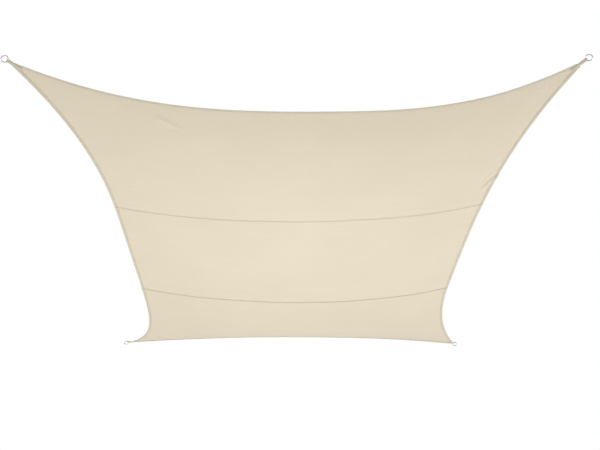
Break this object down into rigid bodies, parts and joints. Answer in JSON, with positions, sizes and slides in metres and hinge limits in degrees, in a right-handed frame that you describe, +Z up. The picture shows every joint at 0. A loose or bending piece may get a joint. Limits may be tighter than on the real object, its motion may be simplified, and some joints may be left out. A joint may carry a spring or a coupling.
{
  "type": "shade sail",
  "caption": "Rectangular shade sail of knitted cloth panels with a hem all round, inward-bowed edges and a steel ring in a webbing loop at each corner; hung outdoors to give shade.",
  "frame": {"origin": "centre of the near left ring, at one end of a 3 m side", "axes": "+X along the 3 m near edge to the near right ring, +Y along the 4 m side to the far rings, +Z up; the sail hangs nearly level below its rings"},
  "size_m": [3.0414, 4.0386, 0.2271],
  "materials": {
    "shade_cloth": "matt beige knitted plastic-yarn shade cloth, light glows through it; the hem is a darker double layer",
    "webbing": "matt woven beige-olive webbing",
    "steel": "plain stainless steel wire, welded and polished"
  },
  "bodies": {
    "root": {"panel_near": "shade_cloth", "panel_middle": "shade_cloth", "panel_far": "shade_cloth", "webbing_near_left": "webbing", "webbing_near_right": "webbing", "webbing_far_left": "webbing", "webbing_far_right": "webbing", "ring_near_left": "steel", "ring_near_right": "steel", "ring_far_left": "steel", "ring_far_right": "steel"}
  },
  "joints": []
}
